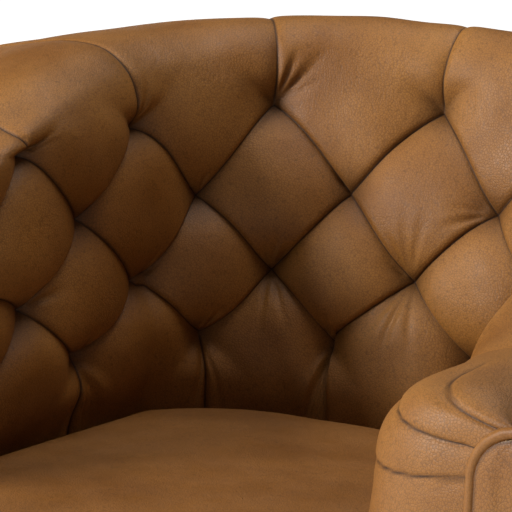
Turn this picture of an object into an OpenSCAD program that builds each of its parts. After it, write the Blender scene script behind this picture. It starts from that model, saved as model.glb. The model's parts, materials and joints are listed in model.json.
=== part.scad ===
// Upholstered barrel (tub) armchair with a diamond-tufted inside back, a loose seat cushion
// and rolled arms that end in narrow front facings. Millimetres, +Z up, front towards -Y.
// The origin is on the floor under the middle of the chair.

/* [Overall] */
// Height of the padded rim above the floor
rim_h = 778; // [740:2:820]
// Inside width between the arms at the first tuft row
inside_w = 543; // [510:1:580]
// Thickness of the back from the first tuft row to the outside
back_t = 125; // [115:1:150]
// Thickness of each arm
arm_t = 184; // [178:1:200]
// Reach from the first tuft row at the centre back to the front of the arm facings
reach = 672; // [660:2:720]

/* [Plan curve of the inside] */
// Radius of the flat middle part of the back
back_r = 440; // [400:10:600]
// Radius of the two back corners
corner_r = 184; // [160:1:200]

/* [Seat] */
// Height of the cushion's top face above the floor
seat_h = 452; // [430:1:470]
// Height of the seat deck under the cushion
deck_h = 301; // [290:1:310]
// Forward lean of the back at seat level, measured at the centre
lean = 92; // [60:1:100]
// Share of that lean that the side walls keep
side_lean = 0.13; // [0.10:0.01:0.20]

/* [Arms] */
// Fall of the rim from the back to the front of the arms
arm_drop = 105; // [70:1:106]
// Length of the rounded nose at the front of each arm
nose_len = 80; // [70:1:90]
// Width of the wooden arm facing
facing_w = 64; // [60:1:66]

/* [Tufting] */
// Distance between neighbouring tuft columns along the first row
tuft_step = 77; // [72:1:80]

/* [Base] */
// Height of the underside of the frame above the floor
base_h = 155; // [145:1:165]
// Radius of a leg at its top
leg_top_r = 24; // [18:1:24]
// Radius of a leg at its foot
leg_foot_r = 14; // [13:1:18]

/* [Materials] */
// Thickness of the leather cover
skin = 2.5; // [2:0.1:3]
// Radius of the piping
welt_r = 4; // [3:0.1:4]

/* [Hidden] */
$fn = 48;
leather = [0.42, 0.26, 0.14];
foam = [0.93, 0.88, 0.68];
timber = [0.80, 0.66, 0.46];
cloth = [0.62, 0.55, 0.42];
steel = [0.70, 0.71, 0.73];
gap = 0.3;                  // clearance between neighbouring soft pieces
nose_pad_in = skin + 7 * gap; // depth of the nose pad below the cover
depth = reach + back_t;
row_y = depth / 2 - back_t; // first tuft row at the centre back
flat_a = asin((inside_w / 2 - corner_r) / (back_r - corner_r));
corner_x = (back_r - corner_r) * sin(flat_a);
corner_y = (back_r - corner_r) * cos(flat_a) - back_r;
skin_z = deck_h + 1;        // lower edge of the inside cover
rail_t = 25;
frame_in = 98;              // frame's inner and outer faces, measured in from the outside
frame_out = 50;
face_depth = 12;            // facing board and its cover
nose_y = reach - face_depth - nose_len + corner_y; // length of the straight side wall
face_in = 106;              // inner edge of the facing, measured from the first tuft row
arch_r = facing_w / 2;
face_mid = face_in + arch_r;
arch_z = 620;
nose_fullness = 0.80;       // under 1 makes the nose blunter than a quarter circle
drop_start = 130;           // length of the arm before its rim begins to fall
seam_a = 60;                // turn of the wall at the outside seams and the pad joints
pad_joint = 0.1;            // turn left open between the back pad and each side pad
rail_joint = 60;            // the arm rails take over from the top rail this far past the corners
top_rail_z = rim_h - 78;    // underside of the top rail
bar_w = 44;                 // width of the uprights, the arm posts and the arm rails
base_top = base_h + rail_t;
seat_rail_top = 280;
front_y = row_y - reach;    // front plane of the facings
rail_y = front_y + 42;      // front face of the seat's front rail
back_rail_y = row_y - 140;
leg_side_y = row_y - 600;
leg_back_a = 35;
side_x = inside_w / 2;

// Tufted section from the deck over the rim to the outside. Each row: share of the lean, offset
// over the rim, share of the extra arm thickness, height, normal, depth of the pad behind it as
// measured in from the outside, height of the pad's back.
section = [
    [1.00, 0, 0.00, skin_z, [1, 0], 104, skin_z],
    [1.00, 0, 0.00, 376, [1, 0], 104, 376],
    [1.00, 0, 0.00, 450, [1, 0], 104, 450],
    [0.70, 0, 0.00, 511, [1, 0], 104, 511],
    [0.62, 0, 0.00, 568, [1, 0], 104, 568],
    [0.40, 0, 0.00, 634, [1, 0], 104, 634],
    [0.00, 0, 0.00, rim_h - 72, [1, 0], 104, rim_h - 72],
    [0.00, 8, 0.00, rim_h - 33, [0.9, -0.4], 104, rim_h - 51],
    [0.00, 28, 0.10, rim_h - 6, [0.5, -0.9], 92, rim_h - 51],
    [0.00, 52, 0.30, rim_h, [0, -1], 76, rim_h - 51],
    [0.00, 80, 0.55, rim_h - 8, [-0.4, -0.9], 58, rim_h - 51],
    [0.00, 105, 0.80, rim_h - 30, [-0.7, -0.7], 42, rim_h - 51],
    [0.00, 120, 0.95, rim_h - 63, [-1, -0.2], 42, rim_h - 73],
    [0.00, 125, 1.00, rim_h - 98, [-1, 0], 42, rim_h - 98],
    [0.00, 113, 1.00, rim_h - 133, [-1, 0], 42, rim_h - 133]];
last = len(section) - 1;
straight = 5;               // section points below the facing's arch

// A station is [turn of the wall from the centre back, distance along the side, turn of the nose].
nose_turns = [15, 35, 55, 75, 90];
side_count = 7;
back_stations = [for (a = [0:10:90]) [a, 0, 0]];
side_stations = [for (n = [1:side_count]) [90, nose_y * n / side_count, 0]];
nose_stations = [for (a = nose_turns) [90, nose_y, a]];
half = concat(back_stations, side_stations, nose_stations);
pad_back_half = [for (a = [0:10:seam_a]) [a, 0, 0]];
pad_side_half = concat([[seam_a + pad_joint, 0, 0]], [for (a = [seam_a + 10:10:90]) [a, 0, 0]],
    side_stations, [nose_stations[0]]);

function mirrored(h) = concat([for (i = [len(h) - 1:-1:1]) [-h[i][0], h[i][1], h[i][2]]], h);
function sided(h, left) = left ? [for (i = [len(h) - 1:-1:0]) [-h[i][0], h[i][1], h[i][2]]] : h;
function smooth(x) = let (c = min(1, max(0, x))) c * c * (3 - 2 * c);
function wall_t(p) = back_t + (arm_t - back_t) * (1 - cos(p));
function lean_at(p) = -lean * (side_lean + (1 - side_lean) * cos(p));
function rim_at(ahead) = rim_h - arm_drop * smooth((ahead - drop_start) / (nose_y - drop_start));
function level(z, ahead) = skin_z + (z - skin_z) * (rim_at(ahead) - skin_z) / (rim_h - skin_z);

// Point in plan at a station, u outwards from the first tuft row and f ahead of the station.
function plan(st, u, f = 0) =
    let (p = abs(st[0]), s = st[0] < 0 ? -1 : 1,
        x = p <= flat_a ? back_r * sin(p) : corner_x + corner_r * sin(p),
        y = p <= flat_a ? back_r * (cos(p) - 1) : corner_y + corner_r * cos(p))
    [s * (x + u * sin(p)), row_y + y + u * cos(p) - st[1] - f];
function at(st, u, z, f = 0) = let (q = plan(st, u, f)) [q[0], q[1], z];

// Outline of the facing, section point by section point.
function face_u(j) = j <= straight ? face_in : face_mid - arch_r * cos(face_turn(j));
function face_z(j) = j <= straight ? skin_z + (arch_z - skin_z) * j / straight
    : arch_z + arch_r * sin(face_turn(j));
function face_turn(j) = 180 * (j - straight) / (last - straight);

// Share of the full section left at a turn of the nose, and its share of the nose's length.
function nose_rest(turn) = pow(cos(turn), nose_fullness);
function nose_ahead(turn) = pow(sin(turn), nose_fullness);

// Point of the tufted cover at a station, d below its surface.
function cover_at(st, j, d) =
    let (r = section[j], p = abs(st[0]), c = nose_rest(st[2]),
        u = r[0] * lean_at(p) + r[1] + r[2] * (wall_t(p) - back_t) + d * r[4][0],
        z = level(r[3], st[1]) + d * r[4][1])
    at(st, face_u(j) + (u - face_u(j)) * c, face_z(j) + (z - face_z(j)) * c,
        (nose_len - d) * nose_ahead(st[2]));
function pad_back_at(st, j) =
    let (r = section[j]) at(st, wall_t(abs(st[0])) - r[5], level(r[6], st[1]),
        (nose_len - skin - gap) * nose_ahead(st[2]));
function nose_back_at(st, j) =
    let (n = section[j][4]) at(st, face_u(j) + 4 * n[0], face_z(j) + 4 * n[1],
        (nose_len - nose_pad_in) * nose_ahead(st[2]));

// Point of the outside cover, v = 0 at its top edge and 1 at its hem, d below its surface.
function outside_at(st, v, d) =
    let (p = abs(st[0]), c = nose_rest(st[2]), taper = 6 + 26 * cos(p),
        u = wall_t(p) - 12 - taper * v - d, hem = base_h - 3,
        edge = face_mid + arch_r - 0.8)
    at(st, edge + (u - edge) * c, level(rim_h - 139, st[1]) * (1 - v) + hem * v,
        (nose_len - d) * nose_ahead(st[2]));

// Station at distance s along the first tuft row from the centre back.
function station_at(s) =
    let (a = abs(s), flat = back_r * flat_a * PI / 180,
        turn = a <= flat ? a / back_r * 180 / PI : flat_a + (a - flat) / corner_r * 180 / PI,
        over = (turn - 90) * PI / 180 * corner_r)
    [(s < 0 ? -1 : 1) * min(90, turn), max(0, over), 0];

// Closed sheet between two grids of points.
module thick_sheet(a, b) {
    ni = len(a);
    nj = len(a[0]);
    other = ni * nj;
    function k(i, j) = i * nj + j;
    function quad(p, q, r, s) = [[p, q, r], [p, r, s]];
    sides = [for (i = [0:ni - 2]) each concat(
        quad(k(i, 0), k(i + 1, 0), other + k(i + 1, 0), other + k(i, 0)),
        quad(k(i + 1, nj - 1), k(i, nj - 1), other + k(i, nj - 1), other + k(i + 1, nj - 1)))];
    ends = [for (j = [0:nj - 2]) each concat(
        quad(k(0, j + 1), k(0, j), other + k(0, j), other + k(0, j + 1)),
        quad(k(ni - 1, j), k(ni - 1, j + 1), other + k(ni - 1, j + 1), other + k(ni - 1, j)))];
    faces = [for (i = [0:ni - 2]) for (j = [0:nj - 2]) each concat(
        quad(k(i, j), k(i, j + 1), k(i + 1, j + 1), k(i + 1, j)),
        quad(other + k(i, j), other + k(i + 1, j), other + k(i + 1, j + 1), other + k(i, j + 1)))];
    polyhedron(concat([for (row = a) each row], [for (row = b) each row]),
        concat(faces, sides, ends), convexity = 8);
}

// Flat band that follows the wall, from u0 to u1 inwards from the outside.
module wall_band(u0, u1, z, t, ahead) {
    run = mirrored(concat(back_stations, [[90, ahead, 0]]));
    n = len(run);
    translate([0, 0, z]) linear_extrude(t) polygon(concat(
        [for (st = run) plan(st, wall_t(abs(st[0])) - u1)],
        [for (i = [n - 1:-1:0]) plan(run[i], wall_t(abs(run[i][0])) - u0)]));
}

// Plate drawn in the side view as [y, z] points and given a width in x.
module side_plate(points, x, w) {
    translate([x, 0, 0]) rotate([90, 0, 90]) linear_extrude(w) polygon(points);
}

module mirror_left(left) { if (left) mirror([1, 0, 0]) children(); else children(); }
module at_legs() {
    back = plan([leg_back_a, 0, 0], wall_t(leg_back_a) - (frame_in + frame_out) / 2);
    side = plan([90, 0, 0], arm_t - (frame_in + frame_out) / 2);
    for (s = [-1, 1]) {
        translate([s * back[0], back[1], 0]) children();
        translate([s * side[0], leg_side_y, 0]) children();
    }
}

// Wooden frame
lining_gap = 1.6;           // the lining hangs this far behind the outside cover
hem_in = skin + lining_gap + 2; // the frame's hem edge, measured in from the outside cover
function hem_outline(d, ahead) = [for (st = mirrored(concat(back_stations, [[90, ahead, 0]])))
    let (q = outside_at(st, 1, d)) [q[0], q[1]]];
module base_rail() {
    run = mirrored(concat(back_stations, [[90, nose_y + 60, 0]]));
    outer = hem_outline(hem_in, nose_y + 60);
    color(timber) difference() {
        translate([0, 0, base_h]) linear_extrude(rail_t) polygon(concat(outer,
            [for (i = [len(run) - 1:-1:0]) plan(run[i], wall_t(abs(run[i][0])) - frame_in)]));
        at_legs() translate([0, 0, base_h - 1]) cylinder(h = rail_t + 2, r = 4.2);
    }
}
front_w = 2 * (side_x + arm_t - frame_in) - 1; // between the ends of the base rail
module base_front_rail() {
    color(timber) translate([-front_w / 2, rail_y, base_h]) cube([front_w, 40, rail_t]);
}
module seat_front_rail() {
    w = 2 * (side_x + face_in + 6);
    color(timber) translate([-w / 2, rail_y, base_top + 0.2])
        cube([w, rail_t, seat_rail_top - base_top - 0.2]);
}
side_rail_x = side_x + arm_t - frame_in - rail_t - 0.2;
module seat_side_rail(left) {
    color(timber) mirror_left(left) translate([side_rail_x, rail_y + rail_t + 0.2, 230])
        cube([rail_t, back_rail_y - rail_y - rail_t - 0.4, seat_rail_top - 230]);
}
module seat_back_rail() {
    w = 2 * side_rail_x - 0.4;
    color(timber) translate([-w / 2, back_rail_y - rail_t, 230]) cube([w, rail_t, seat_rail_top - 230]);
}
module corner_blocks() {
    leg = 60;
    front = rail_y + rail_t + 0.2;
    back = back_rail_y - rail_t - 0.2;
    color(timber) for (left = [false, true]) mirror_left(left) translate([side_rail_x - 0.2, 0, 232])
        linear_extrude(44) {
            polygon([[0, front], [0, front + leg], [-leg, front]]);
            polygon([[0, back], [-leg, back], [0, back - leg]]);
        }
}
upright_stations = [[0, 0, 0], [30, 0, 0], [-30, 0, 0], [56, 0, 0], [-56, 0, 0], [90, 34, 0],
    [-90, 34, 0]];
module upright(n) {
    st = upright_stations[n - 1];
    foot = plan(st, wall_t(abs(st[0])) - frame_in);
    color(timber) translate([foot[0], foot[1], base_top]) rotate(-st[0])
        translate([-bar_w / 2, 0, 0]) cube([bar_w, 30, top_rail_z - base_top]);
}
module top_rail() {
    color(timber) wall_band(frame_in, frame_out - 5, top_rail_z, rail_t, rail_joint);
}
rail_fall = 0.29;           // slope of the arm rails
arm_rail_back = row_y + corner_y - rail_joint - 0.5;
arm_rail_z = top_rail_z + 4; // top of the arm rails where they meet the top rail
arm_wood_x = side_x + arm_t - frame_in + 3;
post_back = front_y + 107;
post_front = rail_y + rail_t + 2;
module arm_rail(left) {
    run = arm_rail_back - post_front;
    color(timber) mirror_left(left) side_plate([[arm_rail_back, arm_rail_z],
        [arm_rail_back, arm_rail_z - rail_t], [post_front, arm_rail_z - rail_t - rail_fall * run],
        [post_front, arm_rail_z - rail_fall * run]], arm_wood_x, bar_w);
}
module arm_post(left) {
    top = arm_rail_z - rail_t - 0.2;
    color(timber) mirror_left(left) side_plate([[post_back, base_top],
        [post_back, top - rail_fall * (arm_rail_back - post_back)],
        [post_front, top - rail_fall * (arm_rail_back - post_front)], [post_front, base_top]],
        arm_wood_x, bar_w);
}
module facing_block(left) {
    y = front_y + face_depth + skin + 1;
    color(timber) mirror_left(left) translate([side_x + face_in + 6.5, y, base_top])
        cube([facing_w - 18, post_front - 0.2 - y, arch_z - 52 - base_top]);
}

// Seat suspension
strand_x = [-200, -100, 0, 100, 200];
spring_pitch = 18;
spring_bars = 26;
spring_start = rail_y + 15;
module zigzag(w) {
    r = spring_pitch / 2;
    for (i = [0:spring_bars]) translate([-13, i * spring_pitch - w / 2]) square([26, w]);
    for (i = [0:spring_bars - 1]) translate([i % 2 == 0 ? 13 : -13, (i + 0.5) * spring_pitch])
        intersection() {
            difference() {
                circle(r + w / 2);
                circle(r - w / 2);
            }
            translate([i % 2 == 0 ? 0 : -20, -20]) square([20, 40]);
        }
}
module seat_springs() {
    color(steel) for (x = strand_x) translate([x, spring_start, seat_rail_top + 1])
        linear_extrude(3.6) zigzag(3.6);
}
module spring_clips() {
    color(steel) for (x = strand_x) for (i = [0, spring_bars])
        translate([x, spring_start + i * spring_pitch, seat_rail_top + 0.1]) difference() {
            translate([-6, -5, 0]) cube([12, 10, 6]);
            translate([-7, -2.1, 0.5]) cube([14, 4.2, 4.4]);
        }
}
module deck_panel() {
    edge = 106;             // the deck ends this far in from the outside
    run = mirrored(back_stations);
    x = side_x + arm_t - edge;
    color(cloth) translate([0, 0, deck_h - 14]) linear_extrude(14) polygon(concat(
        [for (st = run) plan(st, wall_t(abs(st[0])) - edge)],
        [[x, rail_y + 0.5], [-x, rail_y + 0.5]]));
}

// Padding
module back_hessian() {
    run = mirrored(concat(back_stations, side_stations));
    function edge(st, d) = [for (z = [skin_z, rim_h - 82])
        at(st, wall_t(abs(st[0])) - 103.7 + d, level(z, st[1]))];
    color(cloth) thick_sheet([for (st = run) edge(st, 0)], [for (st = run) edge(st, 1)]);
}
rows = [[rim_h - 72, 1], [634, 0], [568, 1], [511, 0]];
module tuft_ties() {
    color(cloth) for (r = rows) for (c = [-8:8]) if (abs(c) % 2 == r[1]) {
        st = station_at(c * tuft_step);
        p = plan(st, wall_t(abs(st[0])) - 101.3);
        translate([p[0], p[1], min(r[0] - 6, level(rim_h - 92, st[1]))]) rotate(-st[0])
            rotate([-90, 0, 0]) cylinder(h = 2, r = 7);
    }
}
module wall_pad(run) {
    thick_sheet([for (st = run) [for (j = [0:last]) cover_at(st, j, skin + gap)]],
        [for (st = run) [for (j = [0:last]) pad_back_at(st, j)]]);
}
module back_pad() {
    color(foam) wall_pad(mirrored(pad_back_half));
}
module side_pad(left) {
    color(foam) wall_pad(sided(pad_side_half, left));
}
module nose_pad(left) {
    run = sided(nose_stations, left);
    color(foam) translate([0, -4 * gap, 0]) thick_sheet(
        [for (st = run) [for (j = [0:last]) cover_at(st, j, nose_pad_in)]],
        [for (st = run) [for (j = [0:last]) nose_back_at(st, j)]]);
}

// Covers
module inside_cover() {
    run = mirrored(half);
    color(leather) thick_sheet([for (st = run) [for (j = [0:last]) cover_at(st, j, 0)]],
        [for (st = run) [for (j = [0:last]) cover_at(st, j, skin)]]);
}
module outside_sheet(run, d0, d1) {
    thick_sheet([for (st = run) [for (v = [1, 0]) outside_at(st, v, d0)]],
        [for (st = run) [for (v = [1, 0]) outside_at(st, v, d1)]]);
}
module outside_lining() {
    color(cloth) outside_sheet(mirrored(concat(back_stations, side_stations)), skin + lining_gap,
        skin + lining_gap + 1);
}
module outside_back_cover() {
    color(leather) outside_sheet([for (a = [-seam_a:10:seam_a]) [a, 0, 0]], 0, skin);
}
module outside_side_cover(left) {
    start = concat([[seam_a + 0.15, 0, 0]], [for (a = [seam_a + 10:10:90]) [a, 0, 0]]);
    color(leather) outside_sheet(sided(concat(start, side_stations, nose_stations), left), 0, skin);
}
outside_welt_r = 3.5;
function welt_at(st, turn) = at(st, wall_t(abs(st[0])) - 8.2 + outside_welt_r * cos(turn),
    level(rim_h - 138, st[1]) + outside_welt_r * sin(turn));
module outside_welt() {
    run = mirrored(concat(back_stations, side_stations));
    color(leather) thick_sheet([for (st = run) [for (a = [270, 225, 180, 135]) welt_at(st, a)]],
        [for (st = run) [for (a = [315, 0, 45, 90]) welt_at(st, a)]]);
}

// Outline of an arm facing in [x, z], grown by e.
module facing_shape(e) {
    x = side_x + face_mid;
    translate([x - arch_r - e, base_h - 3]) square([2 * (arch_r + e), arch_z - base_h + 3]);
    translate([x, arch_z]) circle(arch_r + e);
}
module facing_plate(y, t) { translate([0, y + t, 0]) rotate([90, 0, 0]) linear_extrude(t) facing_shape(0); }
module facing_board(left) { color(timber) mirror_left(left) facing_plate(front_y + 3.7, 8); }
module facing_cover(left) { color(leather) mirror_left(left) facing_plate(front_y, 3.5); }
module facing_welt(left) {
    r = arch_r + welt_r + 0.2;
    color(leather) mirror_left(left) translate([side_x + face_mid, front_y + 7.5, 0]) {
        for (s = [-1, 1]) translate([s * r, 0, base_h - 3]) cylinder(h = arch_z - base_h + 3, r = welt_r);
        translate([0, 0, arch_z]) rotate([90, 0, 0]) rotate_extrude(angle = 180) translate([r, 0])
            circle(welt_r);
    }
}
border_w = 2 * (side_x + face_in - 9);
module front_border_pad() {
    color(foam) translate([-front_w / 2, front_y + 18, base_h])
        cube([front_w, 23.6, deck_h - 1 - base_h]);
}
module front_border_cover() {
    color(leather) translate([-border_w / 2, front_y + 14.2, base_h - 3])
        cube([border_w, 3.5, deck_h + 1.7 - base_h]);
}
module dust_cover() {
    outer = hem_outline(hem_in, nose_y);
    x = outer[len(outer) - 1][0];
    color(cloth) difference() {
        translate([0, 0, base_h - 1.8]) linear_extrude(1.5) polygon(concat(outer,
            [[x, row_y + corner_y - nose_y - 30], [side_x + face_in - 10, front_y + 22],
            [-side_x - face_in + 10, front_y + 22], [-x, row_y + corner_y - nose_y - 30]]));
        at_legs() translate([0, 0, base_h - 3]) cylinder(h = 4, r = 27);
    }
}

// Loose seat cushion
function cushion_outline(e) =
    let (r = 30, x = side_x + lean_at(90) - 1 - e, y = front_y + 18 + e,
        wall = [for (st = back_stations) plan(st, lean_at(st[0]) - 1 - e)],
        nose = [for (a = [0:15:90]) [x - r + r * cos(a), y + r - r * sin(a)]],
        side = concat(wall, nose))
    concat(side, [for (i = [len(side) - 1:-1:1]) [-side[i][0], side[i][1]]]);
cushion_z = deck_h + 0.3;
zip_y = back_rail_y - 10;
module cushion_cover() {
    color(leather) difference() {
        translate([0, 0, cushion_z]) linear_extrude(seat_h - cushion_z) polygon(cushion_outline(0));
        translate([0, 0, cushion_z + skin]) linear_extrude(seat_h - cushion_z - 2 * skin)
            polygon(cushion_outline(skin));
        translate([-160.2, zip_y - 4.2, cushion_z - 1]) cube([320.4, 8.4, skin + 2]);
    }
}
module cushion_core() {
    color(foam) translate([0, 0, cushion_z + skin + gap])
        linear_extrude(seat_h - cushion_z - 2 * (skin + gap)) polygon(cushion_outline(skin + gap));
}
module cushion_zip() {
    color(steel) translate([-160, zip_y - 4, cushion_z + 0.2]) cube([320, 8, skin - 0.2]);
}

// Legs
leg_z = base_h - 3;
glide_t = 6;
module leg() {
    color([0.16, 0.10, 0.07]) difference() {
        translate([0, 0, glide_t]) cylinder(h = leg_z - glide_t, r1 = leg_foot_r, r2 = leg_top_r);
        translate([0, 0, leg_z - 42]) cylinder(h = 43, r = 4.1);
    }
}
module leg_at(left, back) {
    p = back ? plan([leg_back_a, 0, 0], wall_t(leg_back_a) - (frame_in + frame_out) / 2)
        : [plan([90, 0, 0], arm_t - (frame_in + frame_out) / 2)[0], leg_side_y];
    translate([(left ? -1 : 1) * p[0], p[1], 0]) leg();
}
module leg_plates() {
    color(steel) at_legs() translate([0, 0, leg_z]) difference() {
        cylinder(h = 3, r = 26);
        translate([0, 0, -1]) cylinder(h = 5, r = 4.3);
    }
}
module leg_bolts() { color(steel) at_legs() translate([0, 0, leg_z - 40]) cylinder(h = 63, r = 4); }
module leg_glides() { color([0.2, 0.2, 0.2]) at_legs() cylinder(h = glide_t, r = leg_foot_r - 1); }

base_rail();
base_front_rail();
seat_front_rail();
seat_side_rail(true);  // seat_side_rail_left
seat_side_rail(false);  // seat_side_rail_right
seat_back_rail();
corner_blocks();
upright(1);  // upright_1
upright(2);  // upright_2
upright(3);  // upright_3
upright(4);  // upright_4
upright(5);  // upright_5
upright(6);  // upright_6
upright(7);  // upright_7
arm_post(true);  // arm_post_left
arm_post(false);  // arm_post_right
facing_block(true);  // facing_block_left
facing_block(false);  // facing_block_right
top_rail();
arm_rail(true);  // arm_rail_left
arm_rail(false);  // arm_rail_right
seat_springs();
spring_clips();
deck_panel();
back_hessian();
tuft_ties();
back_pad();
side_pad(true);  // side_pad_left
side_pad(false);  // side_pad_right
nose_pad(true);  // nose_pad_left
nose_pad(false);  // nose_pad_right
inside_cover();
outside_lining();
outside_back_cover();
outside_side_cover(true);  // outside_side_cover_left
outside_side_cover(false);  // outside_side_cover_right
outside_welt();
facing_board(true);  // facing_board_left
facing_board(false);  // facing_board_right
facing_cover(true);  // facing_cover_left
facing_cover(false);  // facing_cover_right
facing_welt(true);  // facing_welt_left
facing_welt(false);  // facing_welt_right
front_border_pad();
front_border_cover();
dust_cover();
cushion_cover();
cushion_core();
cushion_zip();
leg_at(true, false);  // leg_front_left
leg_at(false, false);  // leg_front_right
leg_at(true, true);  // leg_back_left
leg_at(false, true);  // leg_back_right
leg_plates();
leg_bolts();
leg_glides();
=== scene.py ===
"""Leather barrel armchair: diamond-tufted inside back, loose seat cushion, rolled arms with piped
facings. Everything is in metres in the chair's own frame: floor at z = 0, front towards -Y."""

import json
import math

import bmesh
import bpy
import numpy as np
from mathutils import Matrix, Vector


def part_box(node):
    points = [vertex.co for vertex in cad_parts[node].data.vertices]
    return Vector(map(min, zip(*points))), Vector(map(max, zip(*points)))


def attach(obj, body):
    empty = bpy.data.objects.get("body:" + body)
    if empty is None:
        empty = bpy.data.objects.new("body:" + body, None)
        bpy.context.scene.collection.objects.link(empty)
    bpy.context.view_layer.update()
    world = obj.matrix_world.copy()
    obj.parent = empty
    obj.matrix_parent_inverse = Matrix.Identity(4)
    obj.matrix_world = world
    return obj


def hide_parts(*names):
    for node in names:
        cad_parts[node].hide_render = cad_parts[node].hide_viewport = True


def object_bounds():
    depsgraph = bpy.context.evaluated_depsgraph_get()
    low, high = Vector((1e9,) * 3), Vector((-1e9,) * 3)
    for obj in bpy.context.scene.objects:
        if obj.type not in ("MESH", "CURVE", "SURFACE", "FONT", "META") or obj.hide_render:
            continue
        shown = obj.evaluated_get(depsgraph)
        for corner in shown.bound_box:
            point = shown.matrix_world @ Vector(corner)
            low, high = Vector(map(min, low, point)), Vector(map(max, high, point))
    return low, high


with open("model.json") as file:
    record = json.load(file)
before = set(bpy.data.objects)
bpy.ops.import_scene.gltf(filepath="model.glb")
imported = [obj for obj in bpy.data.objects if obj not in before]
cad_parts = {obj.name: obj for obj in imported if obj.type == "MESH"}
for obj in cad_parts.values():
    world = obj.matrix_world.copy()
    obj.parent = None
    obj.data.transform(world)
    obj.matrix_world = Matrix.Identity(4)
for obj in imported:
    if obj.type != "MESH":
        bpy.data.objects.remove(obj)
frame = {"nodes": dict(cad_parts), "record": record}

CAD_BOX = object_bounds()
MM = 0.001
CHAIR, CUSHION = "chair", "seat_cushion"
SIDE_NAME = {-1: "left", 1: "right"}

# Plan of the wall, measured along the first tuft row
BACK_R, CORNER_R = 0.440, 0.184
INSIDE_HALF = 0.2715
BACK_T = 0.125
ROW_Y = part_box("inside_cover")[1][1] - BACK_T
FLAT = math.asin((INSIDE_HALF - CORNER_R) / (BACK_R - CORNER_R))
CORNER_X = (BACK_R - CORNER_R) * math.sin(FLAT)
CORNER_Y = (BACK_R - CORNER_R) * math.cos(FLAT) - BACK_R
FLAT_LEN = BACK_R * FLAT
SIDE_START = FLAT_LEN + CORNER_R * (math.pi / 2 - FLAT)  # where the straight arm begins
PANEL_LO, PANEL_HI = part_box("facing_cover_right")
FRONT_Y = PANEL_LO[1]
FACE_DEPTH = 0.012
NOSE_DEPTH = 0.080
NOSE_FULL = 0.80                # under 1 makes the nose blunter than a quarter circle
NOSE_RUN = 0.138                # length of leather round the nose
SIDE_LEN = ROW_Y + CORNER_Y - FRONT_Y - FACE_DEPTH - NOSE_DEPTH
NOSE_START = SIDE_START + SIDE_LEN
WALL_END = NOSE_START + NOSE_RUN
ARM_T = CAD_BOX[1][0] - INSIDE_HALF
SIDE_LEAN = 0.13
EASE_TURN = math.radians(45)    # the wall starts to thicken evenly from this turn on
QUARTER = math.pi / 2

# Arms towards their nose: padding inside slimmer, rim drawn to a round section
SLIM_SHARE, SLIM_FROM, SLIM_OVER = 0.6, 0.66, 0.10
ROUND_SHARE, ROUND_FROM, ROUND_OVER = 0.85, 0.62, 0.13
ROUND_MID, ROUND_HALF = 0.076, 0.090
ROUND_LOW, ROUND_HIGH = 0.596, 0.674
ARCH_TAU, ARCH_END = 1.5, -2.7  # row coordinates that meet the ends of the facing's arch
ARCH_MEET_Z = 0.670             # height on the wall that meets the foot of that arch

# Heights
DECK_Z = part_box("deck_panel")[1][2]
HEM_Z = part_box("outside_back_cover")[0][2]
RIM_Z = 0.778
ARM_DROP = 0.105
TUFT_DROP_START = 0.13          # the tufts keep their height this far along the arm
LEAN_FOOT = 0.092               # forward lean of the back at seat level

# Tufting lattice: half-steps k along the wall, row coordinate tau down it
STEP = 0.077
ROWS = 4
LAST_K = 9
TOP_TAU, BOTTOM_TAU = -3.5, 6.5
CELL = 0.105                    # side of a diamond
TUFT_DEPTH = 0.027
CREASE_DEPTH = 0.0088
LIP = 0.0042

# Facing at the front of each arm
FACE_R = (PANEL_HI[0] - PANEL_LO[0]) / 2
FACE_IN = PANEL_LO[0] - INSIDE_HALF
FACE_MID = FACE_IN + FACE_R
FACE_Z = PANEL_HI[2] - FACE_R

# Envelope of the padding, row coordinate by row coordinate, in millimetres: share that leans with
# the back (outwards, up), offset outwards from the first row, height, change at the side walls
# (outwards, up), share of the extra arm thickness
SECTION = np.array([
    (-3.5, 0, 0, 113, 646, 0, 0, 1.00),
    (-3.0, 0, 0, 125, 680, 0, 0, 1.00),
    (-2.5, 0, 0, 119, 710, 0, 0, 0.97),
    (-2.0, 0, 0, 103, 738, 0, 0, 0.90),
    (-1.5, 0, 0, 78, 760, 0, -12, 0.66),
    (-1.0, 0, 0, 48, 774, 0, -15, 0.32),
    (-0.5, 0, 0, 21, 778, -2, -19, 0.10),
    (0.0, 0, 0, 0, 766, -5, -23, 0.02),
    (0.5, 0, 3, -15, 741, -3, -22, 0.0),
    (1.0, 0, 10, -26, 706, 0, -11, 0.0),
    (2.0, -36.5, 9, -26.5, 634.5, 0, -8, 0.0),
    (3.0, -57, 6, -27, 568, 0, -5, 0.0),
    (4.0, -64.5, 3, -27.5, 511, 0, -2, 0.0),
    (4.5, -75, 0, -21, 482, 0, -1, 0.0),
    (5.0, -88, 0, -6, 452, 0, 0, 0.0),
    (5.6, -90, 0, -1, 405, 0, 0, 0.0),
    (6.5, -90, 0, -1, 303, 0, 0, 0.0)])


# ---------------------------------------------------------------- padded wall
def curve_through(x, xs, ys):
    """Smooth curve through a few given points."""
    slopes = np.gradient(ys, xs)
    i = np.clip(np.searchsorted(xs, x, side="right") - 1, 0, len(xs) - 2)
    h = xs[i + 1] - xs[i]
    t = (x - xs[i]) / h
    t2, t3 = t * t, t * t * t
    return ((2 * t3 - 3 * t2 + 1) * ys[i] + (t3 - 2 * t2 + t) * h * slopes[i]
            + (3 * t2 - 2 * t3) * ys[i + 1] + (t3 - t2) * h * slopes[i + 1])


def smooth_step(x):
    x = np.clip(x, 0.0, 1.0)
    return x * x * (3 - 2 * x)


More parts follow.
